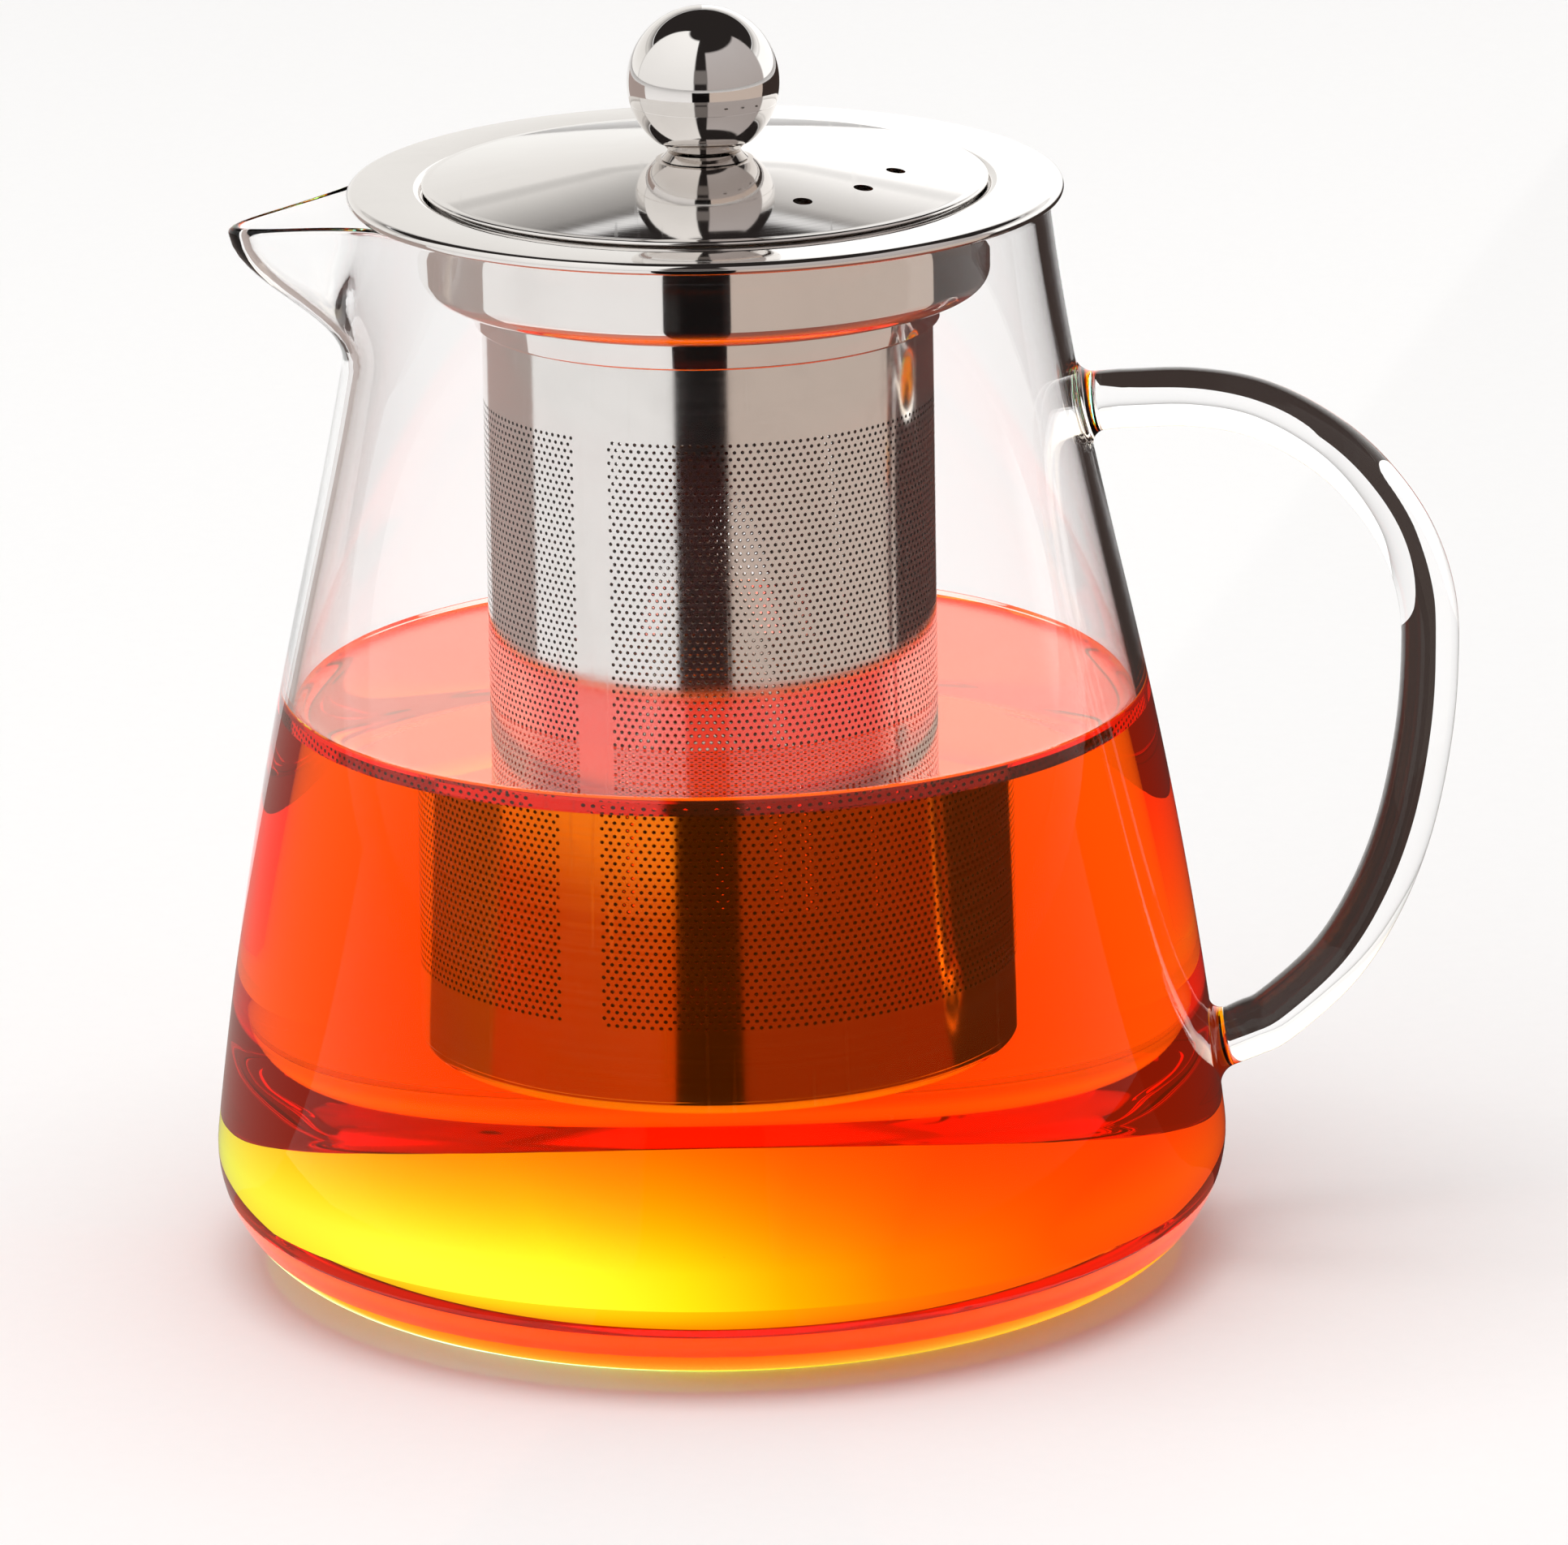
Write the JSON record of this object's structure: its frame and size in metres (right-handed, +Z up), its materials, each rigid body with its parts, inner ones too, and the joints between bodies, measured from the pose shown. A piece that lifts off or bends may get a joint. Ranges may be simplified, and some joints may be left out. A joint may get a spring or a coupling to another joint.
{
  "type": "glass teapot",
  "caption": "Conical clear glass teapot with a pulled spout, a loop glass handle, a lift-out perforated steel strainer and a domed steel lid with a ball knob.",
  "frame": {"origin": "centre of the underside of the glass body, on the body's axis", "axes": "+Z up along the body's axis, -X towards the spout, +X towards the handle"},
  "size_m": [0.1563, 0.1268, 0.1593],
  "materials": {
    "clear_glass": "clear, fire-polished",
    "polished_steel": "mirror-polished stainless steel",
    "satin_steel": "satin stainless steel",
    "screw_steel": "machined stainless steel",
    "tea": "clear orange-red liquid"
  },
  "bodies": {
    "pot": {"glass_body": "clear_glass", "glass_handle": "clear_glass"},
    "infuser": {"infuser_brim": "polished_steel", "strainer_sleeve": "polished_steel", "strainer_pan": "polished_steel"},
    "lid": {"lid_dome": "polished_steel", "lid_skirt": "satin_steel", "knob_upper_shell": "polished_steel", "knob_lower_shell": "polished_steel", "knob_ring": "polished_steel", "knob_insert": "screw_steel", "knob_washer": "satin_steel", "knob_screw": "screw_steel"}
  },
  "joints": [
    {"name": "infuser_lift", "type": "slide", "parent": "pot", "child": "infuser", "axis": [0, 0, 1], "range_m": [0, 0.115]},
    {"name": "lid_lift", "type": "slide", "parent": "infuser", "child": "lid", "axis": [0, 0, 1], "range_m": [0, 0.03]}
  ]
}
